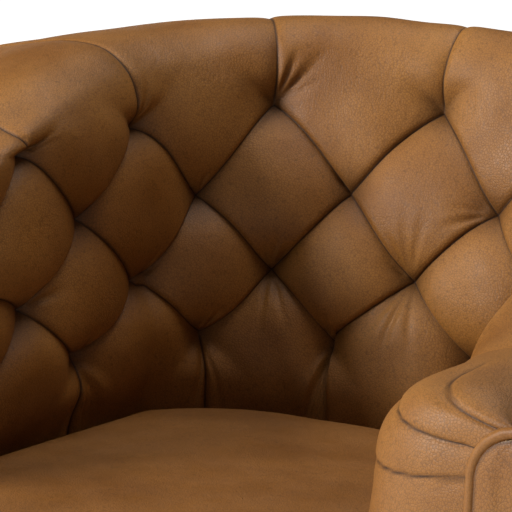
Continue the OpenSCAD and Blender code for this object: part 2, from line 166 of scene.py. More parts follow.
def wall_line(s):
    """Point of the first tuft row in plan, turn of its outward normal and distance along the side."""
    a = np.abs(s)
    turn = np.where(a < FLAT_LEN, a / BACK_R, FLAT + (a - FLAT_LEN) / CORNER_R)
    turn = np.minimum(turn, QUARTER)
    flat = turn < FLAT
    x = np.where(flat, BACK_R * np.sin(turn), CORNER_X + CORNER_R * np.sin(turn))
    y = np.where(flat, BACK_R * (np.cos(turn) - 1), CORNER_Y + CORNER_R * np.cos(turn))
    ahead = np.clip(a - SIDE_START, 0, SIDE_LEN)
    return np.sign(s) * x, ROW_Y + y - ahead, np.sign(s) * turn, ahead


def wall_thickness(turn):
    """The wall thickens round each corner and runs smoothly into the arm."""
    turn = np.abs(turn)
    t = np.clip((turn - EASE_TURN) / (QUARTER - EASE_TURN), 0, 1)
    slope = math.sin(EASE_TURN) * (QUARTER - EASE_TURN)
    start = 1 - math.cos(EASE_TURN)
    eased = (start * (2 * t ** 3 - 3 * t ** 2 + 1) + slope * (t ** 3 - 2 * t ** 2 + t)
             + 3 * t ** 2 - 2 * t ** 3)
    return BACK_T + (ARM_T - BACK_T) * np.where(turn < EASE_TURN, 1 - np.cos(turn), eased)


def level(z, ahead, start=0.0):
    """Height z after the rim has fallen towards the front of the arms."""
    drop = ARM_DROP * smooth_step((ahead - start) / (SIDE_LEN - start))
    return DECK_Z + (z - DECK_Z) * (RIM_Z - drop - DECK_Z) / (RIM_Z - DECK_Z)


def arch_turn(tau):
    """Turn round the facing's arch that belongs to a row coordinate."""
    return np.clip((ARCH_TAU - tau) / (ARCH_TAU - ARCH_END), 0, 1) * math.pi


def nose_shares(s):
    """Share of the full section that is left on the nose, and share of the nose's length."""
    turn = np.clip((np.abs(s) - NOSE_START) / NOSE_RUN, 0, 1) * QUARTER
    return np.cos(turn) ** NOSE_FULL, np.sin(turn) ** NOSE_FULL


def facing_point(tau, z, z_arch):
    """Outline of the arm facing that belongs to a row coordinate: outward offset and height."""
    turn = arch_turn(tau)
    u = np.where(tau > ARCH_TAU, FACE_IN, FACE_MID - FACE_R * np.cos(turn))
    up = DECK_Z + (FACE_Z - DECK_Z) * np.clip((z - DECK_Z) / (z_arch - DECK_Z), 0, 1)
    return u, np.where(tau > ARCH_TAU, up, FACE_Z + FACE_R * np.sin(turn))


def envelope(s, tau):
    """Outer surface of the padding before any dent, at distance s along the wall."""
    x, y, turn, ahead = wall_line(s)
    part = [curve_through(tau, SECTION[:, 0], SECTION[:, n]) * (MM if n < 7 else 1)
            for n in range(1, 8)]
    lean_u, lean_z, out, height, side_u, side_z, spread = part
    lean = SIDE_LEAN + (1 - SIDE_LEAN) * np.cos(turn)
    side = 1 - np.cos(turn)
    a = np.abs(s)
    out = np.where(out < 0, out * (1 - SLIM_SHARE * smooth_step((a - SLIM_FROM) / SLIM_OVER)), out)
    u = lean * lean_u + out + side * side_u + spread * (wall_thickness(turn) - BACK_T)
    z = height + lean * lean_z + side * side_z
    rim_share = smooth_step((1.0 - tau) / 1.3)
    z = rim_share * level(z, ahead) + (1 - rim_share) * level(z, ahead, TUFT_DROP_START)
    arch = arch_turn(tau)
    on_rim = (tau < ARCH_TAU) & (tau > ARCH_END)
    rounding = ROUND_SHARE * smooth_step((a - ROUND_FROM) / ROUND_OVER) * on_rim * np.sin(arch) ** 0.6
    u = u + (ROUND_MID - ROUND_HALF * np.cos(arch) - u) * rounding
    z = z + (ROUND_LOW + (ROUND_HIGH - ROUND_LOW) * np.sin(arch) ** 0.8 - z) * rounding
    rest, ahead_share = nose_shares(s)
    face_u, face_z = facing_point(tau, z, level(ARCH_MEET_Z, ahead))
    u = face_u + (u - face_u) * rest
    z = face_z + (z - face_z) * rest
    y = y - NOSE_DEPTH * ahead_share
    return np.stack([x + u * np.sin(turn), y + u * np.cos(turn), z], -1)


def envelope_normal(s, tau):
    """Outward normal of that surface, from small steps along it."""
    ds, dt = 4e-4, 4e-3
    along = envelope(s + ds, tau) - envelope(s - ds, tau)
    down = envelope(s, np.clip(tau + dt, TOP_TAU, BOTTOM_TAU)) - envelope(
        s, np.clip(tau - dt, TOP_TAU, BOTTOM_TAU))
    n = np.cross(down, along)
    length = np.linalg.norm(n, axis=-1, keepdims=True)
    return n / np.maximum(length, 1e-12)


# ---------------------------------------------------------------- tufting
rng = np.random.default_rng(11)
DEPTHS = {(row, k): TUFT_DEPTH * rng.uniform(0.92, 1.12)
          for row in range(1, ROWS + 1) for k in range(-LAST_K, LAST_K + 1) if (row + k) % 2 == 0}
SHIFTS = {key: rng.normal(0, 1, 2) * (0.0016, 0.015) for key in DEPTHS}
# Tufts that sit further round the corner than their column, in metres
ROUND_THE_CORNER = {(2, 4): 0.006, (3, 3): 0.013, (4, 4): 0.012, (4, 2): 0.007, (3, 5): -0.004,
                    (1, 5): -0.005, (1, 7): -0.008, (2, 6): -0.006, (3, 7): -0.007}
for (row, column), along in ROUND_THE_CORNER.items():
    for side in (-1, 1):
        SHIFTS[row, side * column] += (side * along, 0)


def node_depth(row, k):
    """Depth of the tuft at a lattice point, zero where there is none, and whether there is one."""
    depth = np.zeros(row.shape)
    real = np.zeros(row.shape, bool)
    for (r, c), d in DEPTHS.items():
        here = (row == r) & (k == c)
        depth[here] = d
        real |= here
    return depth, real


def shore(x):
    """Slow rise of the padding from a crease to the middle of a diamond."""
    return np.clip(1 - 2 * x, 0, 1) ** 2.3


def lip(x):
    """Rounded edge of a pleat that laps over its neighbour."""
    y = np.clip(1 - x / 0.055, 0, 1)
    return 1 - np.sqrt(np.maximum(1 - y * y, 0))


def crease(t, first, second, real):
    """Depth along a crease: shallow in its middle, falling to the tuft at each end."""
    mid = np.where(real, CREASE_DEPTH, 0)
    a, b = (1 - t) ** 3.6, t ** 3.6
    return mid * (1 - a - b) + first * a + second * b


def diamonds(k, tau):
    """Depth of the diamond pattern, and the distance from its nearest crease."""
    a, b = (tau + k) / 2, (tau - k) / 2
    i, j = np.floor(a + 1e-9), np.floor(b + 1e-9)
    p, q = np.clip(a - i, 0, 1), np.clip(b - j, 0, 1)
    corner = {}
    for di in (0, 1):
        for dj in (0, 1):
            corner[di, dj] = node_depth(i + di + j + dj, i + di - j - dj)
    depth = np.zeros(k.shape)
    near = np.full(k.shape, 1.0)
    for side in (0, 1):
        for t, x, ends in (
                (p, q if side == 0 else 1 - q, (corner[0, side], corner[1, side])),
                (q, p if side == 0 else 1 - p, (corner[side, 0], corner[side, 1]))):
            real = ends[0][1] & ends[1][1]
            fold = np.where(real, LIP * np.sqrt(np.clip(4 * t * (1 - t), 0, 1)), 0) * side
            depth += shore(x) * (crease(t, ends[0][0], ends[1][0], real) - fold) + fold * lip(x)
            near = np.minimum(near, np.where(real, x, 1.0))
    for di in (0, 1):
        for dj in (0, 1):
            x, y = (p if di == 0 else 1 - p), (q if dj == 0 else 1 - q)
            depth -= shore(x) * shore(y) * corner[di, dj][0]
    return depth, near * CELL


def profile_run():
    """Distance down the middle of the back for each row coordinate."""
    tau = np.linspace(TOP_TAU, BOTTOM_TAU, 400)
    pts = envelope(np.zeros(400), tau)
    run = np.concatenate([[0], np.cumsum(np.linalg.norm(np.diff(pts, axis=0), axis=1))])
    return tau, run - np.interp(1.0, tau, run)


RUN_TAU, RUN = profile_run()


def run_of(tau):
    return np.interp(tau, RUN_TAU, RUN)


def ray(s, l, start, end, depth, width, head=0.25):
    """A narrow furrow from start to end that fades at both ends."""
    d = np.array(end) - np.array(start)
    length = math.hypot(*d)
    d = d / length
    along = ((s - start[0]) * d[0] + (l - start[1]) * d[1]) / length
    across = (s - start[0]) * d[1] - (l - start[1]) * d[0]
    fade = smooth_step(along / head) * smooth_step((1 - along) / (1 - head))
    spread = width * (0.6 + 0.9 * np.clip(along, 0, 1))
    return depth * fade * np.exp(-(across / spread) ** 2)


def pleat(s, l, s0, l0, way, deep, shallow, reach, fade_out):
    """A lapped pleat running straight up (way -1) or down (way 1) from a tuft, and a line of painted
    shade along it.
    """
    h = way * (l - l0)
    across = s - s0
    depth = shallow + (deep - shallow) * np.exp(-np.maximum(h, 0) / reach)
    depth = depth * smooth_step(h / 0.012 + 0.4) * (1 - smooth_step((h - fade_out) / 0.05))
    width = 0.006 + 0.010 * np.exp(-np.maximum(h, 0) / 0.03)
    left = np.exp(-np.abs(across) / width)
    right = np.exp(-np.abs(across) / (0.45 * width))
    pleat_shade_line = np.exp(-(across / 0.0011) ** 2) * smooth_step(h / 0.006)
    pleat_shade_line = pleat_shade_line * (1 - smooth_step((h - fade_out) / 0.03))
    return depth * np.where(across < 0, left, right), pleat_shade_line


# Wrinkles that fan out from tufts: row, column, direction in degrees (0 to the right, 90 up),
# length, depth and width in millimetres
WRINKLES = [
    (1, -3, 68, 46, 2.6, 3.0), (1, -3, 45, 58, 2.0, 3.4), (1, -3, 22, 42, 1.5, 3.2),
    (1, -5, 75, 44, 2.8, 3.2), (1, -5, 52, 30, 1.8, 3.0), (1, -7, 40, 40, 2.6, 3.6),
    (1, -7, 15, 34, 1.6, 3.2), (1, -7, 70, 30, 1.6, 3.0), (3, -3, 50, 30, 3.0, 3.4),
    (3, -3, 80, 34, 2.0, 3.0), (3, -3, 115, 26, 1.6, 2.8), (2, 0, 205, 46, 2.2, 3.4),
    (2, 0, 182, 40, 1.7, 3.0), (2, 0, 160, 30, 1.4, 3.0), (3, -1, 100, 62, 2.0, 3.8),
    (3, -1, 78, 58, 1.7, 3.6), (3, -1, 125, 44, 1.6, 3.4), (3, -1, 152, 30, 1.6, 3.0),
    (2, -2, 135, 26, 1.4, 2.8), (2, -6, 60, 26, 1.4, 2.8), (2, -4, 75, 24, 1.2, 2.8),
    (3, -5, 60, 30, 1.8, 3.2), (3, -5, 35, 26, 1.4, 3.0), (4, -4, 62, 30, 2.4, 3.2),
    (4, -4, 100, 30, 2.2, 3.2), (4, -4, 130, 24, 1.6, 3.0), (4, -2, 128, 26, 2.0, 3.0),
    (4, -2, 105, 24, 1.6, 3.0), (4, -2, 40, 22, 1.2, 3.0), (4, -6, 35, 34, 2.2, 3.2),
    (4, -6, 75, 28, 1.8, 3.0), (3, -7, 20, 40, 2.2, 3.4), (3, -7, 50, 30, 1.6, 3.2),
    (3, -1, 255, 70, 1.8, 4.2), (3, -1, 232, 62, 1.6, 4.0), (3, -1, 285, 58, 1.2, 4.0),
    (3, -3, 250, 58, 1.5, 4.0), (3, -3, 290, 50, 1.3, 4.0)]

# Gathers from the lowest tufts into the seat: column, sideways shift at the seat, depth, in mm
GATHERS = [(-2, -38, 5.6), (-2, -27, 6.4), (-2, -16, 5.6), (-2, -7, 4.2), (-4, -12, 3.0),
           (-4, 18, 2.6), (-6, 14, 5.0), (-6, 26, 5.6), (-6, 38, 4.4), (-6, -14, 3.2),
           (0, -16, 4.4), (0, 14, 4.0)]


# Row coordinate where each nose pleat ends, its drift on the way, its start and its depth
NOSE_PLEATS = [(-0.30, 0.004, NOSE_START - 0.035, 0.0042), (0.42, 0.016, NOSE_START - 0.015, 0.0042),
               (1.25, 0.016, NOSE_START + 0.015, 0.0030), (-1.15, -0.004, NOSE_START - 0.03, 0.0034),
               (-2.1, -0.008, NOSE_START - 0.01, 0.0030)]


def mirror_rest(items):
    """The same listed folds on the chair's other half, where none are placed yet."""
    placed = {(row, k) for row, k, *_ in items}
    flipped = [(row, -k, 180 - angle, *rest) for row, k, angle, *rest in items
               if (row, -k) not in placed]
    return items + flipped


def front_folds(s, l):
    """Pleats that run round each arm's nose to its facing, each with a line of painted shade."""
    a = np.abs(s)
    depth = np.zeros(s.shape)
    pleat_shade_line = np.zeros(s.shape)
    for tau, bend, start, deep in NOSE_PLEATS:
        line = run_of(tau) + bend * smooth_step((a - start) / (WALL_END - start))
        t = smooth_step((a - start) / 0.05)
        across = l - line
        fall = np.where(across < 0, np.exp(-np.abs(across) / 0.0030), np.exp(-np.abs(across) / 0.010))
        depth += deep * t * fall
        pleat_shade_line = np.maximum(pleat_shade_line, t * np.exp(-(across / 0.0020) ** 2))
    return depth, pleat_shade_line


def dents(k, tau):
    """Depth of the leather below the envelope, and the painted shade along the creases and pleats."""
    s, l = k * STEP, run_of(tau)
    depth, near = diamonds(k, tau)
    crease_shade = np.exp(-(near / 0.0008) ** 2)
    others = np.zeros(k.shape)
    for (row, c), d in DEPTHS.items():
        if row == 1:
            e, pleat_shade_line = pleat(s, l, c * STEP, run_of(1.0), -1, d * 0.9, 0.0024, 0.022, 0.20)
        elif row == ROWS:
            e, pleat_shade_line = pleat(s, l, c * STEP, run_of(4.0), 1, d * 0.9, 0.0050, 0.022, 0.30)
        else:
            continue
        others += e ** 3
        crease_shade = np.maximum(crease_shade, 0.9 * pleat_shade_line)
    depth = (np.maximum(depth, 0) ** 3 + others) ** (1 / 3) - np.maximum(-depth, 0)
    for row, c, angle, length, deep, width in mirror_rest(WRINKLES):
        start = np.array([c * STEP, run_of(float(row))])
        way = np.array([math.cos(math.radians(angle)), -math.sin(math.radians(angle))])
        far = start + way * length * MM * 1.25
        depth += ray(s, l, start + way * 0.006, far, 1.5 * deep * MM, width * MM)
    for c, shift, deep in GATHERS + [(-c, -sh, d) for c, sh, d in GATHERS if c]:
        start = (c * STEP, float(run_of(4.0)) + 0.006)
        end = (c * STEP + shift * MM * 1.3, float(run_of(5.35)))
        depth += ray(s, l, start, end, deep * MM, 0.0030, head=0.3)
    fold, pleat_shade_line = front_folds(s, l)
    depth += fold
    crease_shade = np.maximum(crease_shade, pleat_shade_line)
    ripple = (np.sin(41 * s + 13 * l) * np.cos(29 * l - 17 * s) + 0.5 * np.sin(93 * s - 61 * l))
    depth += 0.0007 * ripple
    return depth, crease_shade


# Points along a diamond's side, up over the rim, down to the seat and out to the end of the arm
EDGE_N, UP_N, DOWN_N, END_N = 40, 66, 40, 80


def clustered(n):
    """Shares from 0 to 1 that crowd towards both ends, where the creases are."""
    t = np.linspace(0, 1, n + 1)
    return t - 0.72 * np.sin(2 * math.pi * t) / (2 * math.pi)


def wall_patches():
    """Grids of (column, row coordinate) that cover the whole tufted wall, lined up with its folds."""
    t = clustered(EDGE_N)
    up = np.linspace(0, 1, UP_N + 1) ** 1.35
    down = np.linspace(0, 1, DOWN_N + 1) ** 1.35
    patches = []
    for row in (1, 2):
        for k in range(-LAST_K, LAST_K + 1):
            tufts = ((row, k), (row + 2, k), (row + 1, k - 1), (row + 1, k + 1))
            if (row + k) % 2 == 0 and all(tuft in DEPTHS for tuft in tufts):
                i, j = (row + k) / 2, (row - k) / 2
                a, b = np.meshgrid(i + t, j + t, indexing="ij")
                patches.append((a - b, a + b))
    for k0 in range(-LAST_K, LAST_K, 2):
        k = np.concatenate([k0 + t, k0 + 1 + t[1:]])
        low = np.concatenate([1 + t, 2 - t[1:]])
        kk, rr = np.meshgrid(k, up, indexing="ij")
        patches.append((kk, low[:, None] + (TOP_TAU - low[:, None]) * rr))
    for k0 in range(1 - LAST_K, LAST_K - 1, 2):
        k = np.concatenate([k0 + t, k0 + 1 + t[1:]])
        high = np.concatenate([4 - t, 3 + t[1:]])
        kk, rr = np.meshgrid(k, down, indexing="ij")
        patches.append((kk, high[:, None] + (BOTTOM_TAU - high[:, None]) * rr))
    edge_k = np.concatenate([np.full(UP_N + 1, float(LAST_K)), LAST_K - t[1:], LAST_K - 1 + t[1:],
                             LAST_K - t[1:], np.full(DOWN_N, LAST_K - 1.0)])
    edge_tau = np.concatenate([1 + (TOP_TAU - 1) * up[::-1], 1 + t[1:], 2 + t[1:], 3 + t[1:],
                               4 + (BOTTOM_TAU - 4) * down[1:]])
    out = np.linspace(0, 1, END_N + 1) ** 1.15
    kk = edge_k[:, None] + (WALL_END / STEP - edge_k[:, None]) * out
    tt = np.repeat(edge_tau[:, None], END_N + 1, axis=1)
    return patches + [(kk, tt), (-kk, tt)]


def shifted(k, tau):
    """The lattice as sewn: tufts and creases a little out of line."""
    dk, dt = np.zeros(k.shape), np.zeros(k.shape)
    for (row, c), (sk, st) in SHIFTS.items():
        pull = np.exp(-((k - c) ** 2 + (tau - row) ** 2) / 0.6)
        dk += pull * sk / STEP
        dt += pull * st
    wave = np.exp(-((tau - 2.5) / 2.2) ** 2)
    dk += 0.018 * wave * np.sin(2.3 * tau + 1.7 * k)
    return k + dk, tau + dt * wave


def new_object(name, verts, faces, material, body, smooth=True):
    """A mesh piece with its material and slot, riding on a body."""
    mesh = bpy.data.meshes.new(name)
    mesh.from_pydata([tuple(v) for v in verts], [], [tuple(f) for f in faces])
    mesh.validate()
    obj = bpy.data.objects.new(name, mesh)
    bpy.context.scene.collection.objects.link(obj)
    mesh.materials.append(material)
    mesh.polygons.foreach_set("use_smooth", [smooth] * len(mesh.polygons))
    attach(obj, body)
    return obj


def paint(obj, name, values):
    """One number a vertex, for the material to read."""
    layer = obj.data.attributes.new(name, "FLOAT", "POINT")
    layer.data.foreach_set("value", np.asarray(values, np.float32))


def grid_faces(index):
    """Quads between neighbouring points of a grid of vertex numbers."""
    a = index[:-1, :-1].ravel()
    b = index[1:, :-1].ravel()
    c = index[1:, 1:].ravel()
    d = index[:-1, 1:].ravel()
    return np.stack([a, b, c, d], -1)


def tufted_wall(material):
    """The leather of back, arms, rim and noses as one mesh whose edges follow the folds."""
    keys, faces, ks, ts = {}, [], [], []
    for kk, tt in wall_patches():
        flat_k, flat_t, flat = np.round(kk, 5).ravel(), np.round(tt, 5).ravel(), np.empty(kk.size, int)
        for n, key in enumerate(zip(flat_k, flat_t)):
            found = keys.get(key)
            if found is None:
                found = keys[key] = len(ks)
                ks.append(key[0])
                ts.append(key[1])
            flat[n] = found
        faces.append(grid_faces(flat.reshape(kk.shape)))
    k, tau = np.array(ks), np.array(ts)
    depth, crease_shade = dents(k, tau)
    sk, st = shifted(k, tau)
    st = np.clip(st, TOP_TAU, BOTTOM_TAU)
    s = sk * STEP
    points = envelope(s, st)
    normal = envelope_normal(s, st)
    hold = smooth_step((WALL_END - np.abs(s)) / 0.012)
    points = points - normal * (depth * hold)[:, None]
    quads = np.concatenate(faces)
    a, b, c, d = (points[quads[:, n]] for n in range(4))
    facing = np.einsum("ij,ij->i", np.cross(c - a, d - b), normal[quads[:, 0]])
    quads[facing < 0] = quads[facing < 0][:, ::-1]
    obj = new_object("tufted_wall", points, quads, material, CHAIR)
    # Painted shade for the leather: a dark line along each crease and pleat, and darkening into the dents
    paint(obj, "fold", crease_shade)
    paint(obj, "dent_shade", np.clip(depth / TUFT_DEPTH, 0, 1))
    return obj


# ---------------------------------------------------------------- materials
RANGE_SOCKETS = ("From Min", "From Max", "To Min", "To Max")


class Shader:
    """A Principled material and short ways to add nodes to it."""

    def __init__(self, name, roughness, metallic=0.0):
        self.mat = bpy.data.materials.new(name)
        self.mat.use_nodes = True
        self.nodes, self.links = self.mat.node_tree.nodes, self.mat.node_tree.links
        self.bsdf = self.nodes["Principled BSDF"]
        self.bsdf.inputs["Roughness"].default_value = roughness
        self.bsdf.inputs["Metallic"].default_value = metallic
        self.where = self.nodes.new("ShaderNodeTexCoord").outputs["Object"]

    def stretch(self, scale):
        node = self.nodes.new("ShaderNodeMapping")
        node.inputs["Scale"].default_value = scale
        self.links.new(self.where, node.inputs["Vector"])
        return node.outputs["Vector"]

    def noise(self, scale, detail=3.0, where=None, twist=0.0):
        node = self.nodes.new("ShaderNodeTexNoise")
        node.inputs["Scale"].default_value = scale
        node.inputs["Detail"].default_value = detail
        node.inputs["Distortion"].default_value = twist
        self.links.new(where or self.where, node.inputs["Vector"])
        return node.outputs["Fac"]

    def cells(self, scale):
        node = self.nodes.new("ShaderNodeTexVoronoi")
        node.feature = "DISTANCE_TO_EDGE"
        node.inputs["Scale"].default_value = scale
        self.links.new(self.where, node.inputs["Vector"])
        return node.outputs["Distance"]

    def waves(self, scale, where, axis="X", twist=0.0):
        node = self.nodes.new("ShaderNodeTexWave")
        node.bands_direction = axis
        node.inputs["Scale"].default_value = scale
        node.inputs["Distortion"].default_value = twist
        self.links.new(where, node.inputs["Vector"])
        return node.outputs["Fac"]

    def spread(self, value, low, high, to_low=0.0, to_high=1.0):
        node = self.nodes.new("ShaderNodeMapRange")
        for socket, number in zip(RANGE_SOCKETS, (low, high, to_low, to_high)):
            node.inputs[socket].default_value = number
        self.links.new(value, node.inputs["Value"])
        return node.outputs["Result"]

    def painted(self, name):
        node = self.nodes.new("ShaderNodeAttribute")
        node.attribute_name = name
        return node.outputs["Fac"]

    def mix(self, factor, a, b, blend="MIX"):
        node = self.nodes.new("ShaderNodeMix")
        node.data_type = "RGBA"
        node.blend_type = blend
        for value, socket in ((factor, 0), (a, 6), (b, 7)):
            if isinstance(value, (int, float)):
                node.inputs[socket].default_value = value
            elif isinstance(value, tuple):
                node.inputs[socket].default_value = (*value, 1.0)
            else:
                self.links.new(value, node.inputs[socket])
        return node.outputs[2]

    def bump(self, height, distance, under=None):
        node = self.nodes.new("ShaderNodeBump")
        node.inputs["Distance"].default_value = distance
        node.inputs["Strength"].default_value = 1.0
        self.links.new(height, node.inputs["Height"])
        if under is not None:
            self.links.new(under, node.inputs["Normal"])
        return node.outputs["Normal"]

    def finish(self, color, normal, roughness=None):
        if isinstance(color, tuple):
            self.bsdf.inputs["Base Color"].default_value = (*color, 1.0)
        else:
            self.links.new(color, self.bsdf.inputs["Base Color"])
        self.links.new(normal, self.bsdf.inputs["Normal"])
        if roughness is not None:
            self.links.new(roughness, self.bsdf.inputs["Roughness"])
        return self.mat


# Colours of the hide: light and dark dye patches, a near-black for grain edges and painted shade in folds
# and dents, and the cushion's shaded copy
LEATHER_LIGHT = (0.285, 0.124, 0.027)
LEATHER_DARK = (0.185, 0.070, 0.011)
LEATHER_GRAIN_AND_SHADE = (0.014, 0.004, 0.001)
# Seat: a darker copy of the hide, painted shade for a seat enclosed by the walls
SHADED_SEAT_LIGHT = (0.225, 0.092, 0.019)
SHADED_SEAT_DARK = (0.150, 0.056, 0.008)


def leather(name, light=LEATHER_LIGHT, dark=LEATHER_DARK, grain=1.0):
    """Aniline leather: mottled dye, pebbled grain, fine pull lines, painted shade in its folds, creases
    and dents.
    """
    sh = Shader(name, 0.46)
    cloudy = sh.spread(sh.noise(9.0, 4.0), 0.35, 0.65)
    color = sh.mix(cloudy, dark, light)
    speckle = sh.spread(sh.noise(170.0, 3.0), 0.38, 0.68, 0.0, 0.22)
    color = sh.mix(speckle, color, dark)
    pebble = sh.cells(430.0)
    color = sh.mix(sh.spread(pebble, 0.0, 0.12, 0.45 * grain, 0.0), color, LEATHER_GRAIN_AND_SHADE)
    # painted shade deepening into the dents round the tufts
    color = sh.mix(sh.spread(sh.painted("dent_shade"), 0.30, 1.0, 0.0, 0.70), color, LEATHER_GRAIN_AND_SHADE)
    # painted shade along creases, pleats and seams
    color = sh.mix(sh.spread(sh.painted("fold"), 0.1, 1.0, 0.0, 0.95), color, LEATHER_GRAIN_AND_SHADE)
    normal = sh.bump(sh.spread(pebble, 0.0, 0.22), 0.00013 * grain)
    normal = sh.bump(sh.noise(1300.0, 2.0), 0.00008 * grain, under=normal)
    pulls = sh.noise(60.0, 3.0, twist=0.8)
    normal = sh.bump(sh.spread(pulls, 0.3, 0.7), 0.00022, under=normal)
    rough = sh.spread(sh.noise(30.0, 3.0), 0.3, 0.7, 0.46, 0.60)
    sh.bsdf.inputs["Specular IOR Level"].default_value = 0.30
    return sh.finish(color, normal, rough)


def stained_wood():
    sh = Shader("leg_wood_stain", 0.34)
    along = sh.stretch((14.0, 14.0, 1.2))
    grain = sh.waves(2.4, along, twist=5.0)
    color = sh.mix(grain, (0.030, 0.014, 0.007), (0.062, 0.028, 0.013))
    color = sh.mix(sh.spread(sh.noise(24.0, 6.0, where=along), 0.45, 0.7), color, (0.015, 0.007, 0.004))
    return sh.finish(color, sh.bump(grain, 0.00025))


def raw_wood():
    sh = Shader("frame_wood_sawn", 0.7)
    along = sh.stretch((3.0, 14.0, 14.0))
    grain = sh.waves(2.0, along, twist=4.0)
    color = sh.mix(grain, (0.42, 0.27, 0.14), (0.56, 0.40, 0.23))
    return sh.finish(color, sh.bump(sh.noise(160.0, 3.0, where=along), 0.0005))


def woven(name, dark, light, pitch=900.0):
    """Plain weave: warp and weft as two crossed sets of ridges."""
    sh = Shader(name, 0.9)
    warp, weft = (sh.waves(pitch / (2 * math.pi), sh.where, axis) for axis in "XY")
    cross = sh.mix(0.5, warp, weft, "MULTIPLY")
    color = sh.mix(sh.spread(sh.noise(60.0, 4.0), 0.3, 0.7), dark, light)
    return sh.finish(color, sh.bump(cross, 0.0005))


def plated_steel():
    sh = Shader("zinc_steel", 0.38, metallic=1.0)
    tone = sh.spread(sh.noise(90.0, 3.0), 0.3, 0.7)
    return sh.finish(sh.mix(tone, (0.42, 0.43, 0.45), (0.60, 0.61, 0.63)), sh.bump(tone, 0.0002))


def nylon():
    sh = Shader("glide_nylon", 0.55)
    return sh.finish((0.02, 0.02, 0.02), sh.bump(sh.noise(700.0, 2.0), 0.0001))


def thread():
    sh = Shader("waxed_thread", 0.6)
    twist = sh.waves(260.0, sh.stretch((1.0, 1.0, 1.0)), "DIAGONAL")
    return sh.finish((0.20, 0.115, 0.055), sh.bump(twist, 0.0003))


# ---------------------------------------------------------------- shared shapes
TUBE_SIDES = 12


def tube(name, points, radius, material, body, closed=False):
    """Piping: a slightly uneven round cord under leather, along a line of points."""
    points = np.asarray(points, float)
    n = len(points)
    if closed:
        along = np.roll(points, -1, 0) - np.roll(points, 1, 0)
    else:
        along = np.gradient(points, axis=0)
    along /= np.linalg.norm(along, axis=1, keepdims=True)
    frame_x = np.cross(along[0], (0.3, 0.5, 0.81))
    a = np.linspace(0, 2 * math.pi, TUBE_SIDES, endpoint=False)
    rings = []
    for i in range(n):
        frame_x = frame_x - along[i] * np.dot(frame_x, along[i])
        frame_x /= np.linalg.norm(frame_x)
        frame_y = np.cross(along[i], frame_x)
        r = radius * (1 + 0.06 * math.sin(1.9 * i) * math.sin(0.37 * i + 1))
        rings.append(points[i] + r * (np.cos(a)[:, None] * frame_x + np.sin(a)[:, None] * frame_y))
    faces = []
    for i in range(n if closed else n - 1):
        here, there = i * TUBE_SIDES, (i + 1) % n * TUBE_SIDES
        for j in range(TUBE_SIDES):
            k = (j + 1) % TUBE_SIDES
            faces.append((here + j, here + k, there + k, there + j))
    if not closed:
        end = (n - 1) * TUBE_SIDES
        faces += [tuple(range(TUBE_SIDES))[::-1], tuple(end + j for j in range(TUBE_SIDES))]
    return new_object(name, np.concatenate(rings), faces, material, body)


def ring_faces(rings, n):
    """Quads between neighbouring closed rings of n points."""
    index = np.arange(n)
    faces = []
    for r in range(rings - 1):
        a, b = r * n + index, (r + 1) * n + index
        faces.append(np.stack([a, np.roll(a, -1), np.roll(b, -1), b], -1))
    return np.concatenate(faces)


def even(points, pitch):
    """The same line with its points an even distance apart."""
    points = np.asarray(points, float)
    run = np.concatenate([[0], np.cumsum(np.linalg.norm(np.diff(points, axis=0), axis=1))])
    t = np.linspace(0, run[-1], max(3, int(run[-1] / pitch)))
    return np.stack([np.interp(t, run, points[:, n]) for n in range(points.shape[1])], -1)


def grid_object(name, points, material, slot_name, body, **paints):
    """A sheet from a grid of points, with numbers painted on it."""
    rows, cols = points.shape[:2]
    quads = grid_faces(np.arange(rows * cols).reshape(rows, cols))
    obj = new_object(name, points.reshape(-1, 3), quads, material, body)
    for key, values in paints.items():
        paint(obj, key, values.ravel())
    return obj


STITCH_LEN, STITCH_GAP, STITCH_R = 0.0034, 0.0014, 0.00055


def stitches(name, points, normals, material, body):
    """A row of small thread stitches laid along a line."""
    line = even(np.concatenate([points, normals], 1), STITCH_LEN + STITCH_GAP)
    verts, faces = [], []
    ring = np.linspace(0, 2 * math.pi, 6, endpoint=False)
    for i in range(len(line) - 1):
        p, n, q = line[i, :3], line[i, 3:] / np.linalg.norm(line[i, 3:]), line[i + 1, :3]
        way = (q - p) / np.linalg.norm(q - p)
        side = np.cross(n, way)
        for t, lift, fat in ((0, -0.6, 0.5), (0.25, 0.5, 1), (0.75, 0.5, 1), (1, -0.6, 0.5)):
            centre = p + way * STITCH_LEN * t + n * STITCH_R * lift
            verts += [centre + STITCH_R * fat * (math.cos(a) * n + math.sin(a) * side) for a in ring]
        base = len(verts) - 24
        for r in range(3):
            here, there = base + r * 6, base + r * 6 + 6
            faces += [(here + j, here + (j + 1) % 6, there + (j + 1) % 6, there + j) for j in range(6)]
    return new_object(name, verts, faces, material, body)


# ---------------------------------------------------------------- outside of the chair
OUT_SEAM = math.radians(60)
OUT_TOP = 0.639


def outside_point(s, v, out=0.0):
    """Point of the outside cover, v = 0 at its top welt and 1 at its hem."""
    x, y, turn, ahead = wall_line(s)
    shape = np.sin(math.pi * np.clip(v, 0, 1))
    u = wall_thickness(turn) - 0.012 - (0.006 + 0.026 * np.cos(turn)) * v + out + 0.002 * shape
    rest, ahead_share = nose_shares(s)
    edge = FACE_MID + FACE_R - 0.0005 + out
    u = edge + (u - edge) * rest
    y = y - NOSE_DEPTH * ahead_share
    z = level(OUT_TOP, ahead) * (1 - v) + HEM_Z * v
    return np.stack([x + u * np.sin(turn), y + u * np.cos(turn), z], -1)


def seam_s():
    """Distance along the wall of the seam between the back panel and a side panel."""
    return FLAT_LEN + (OUT_SEAM - FLAT) * CORNER_R


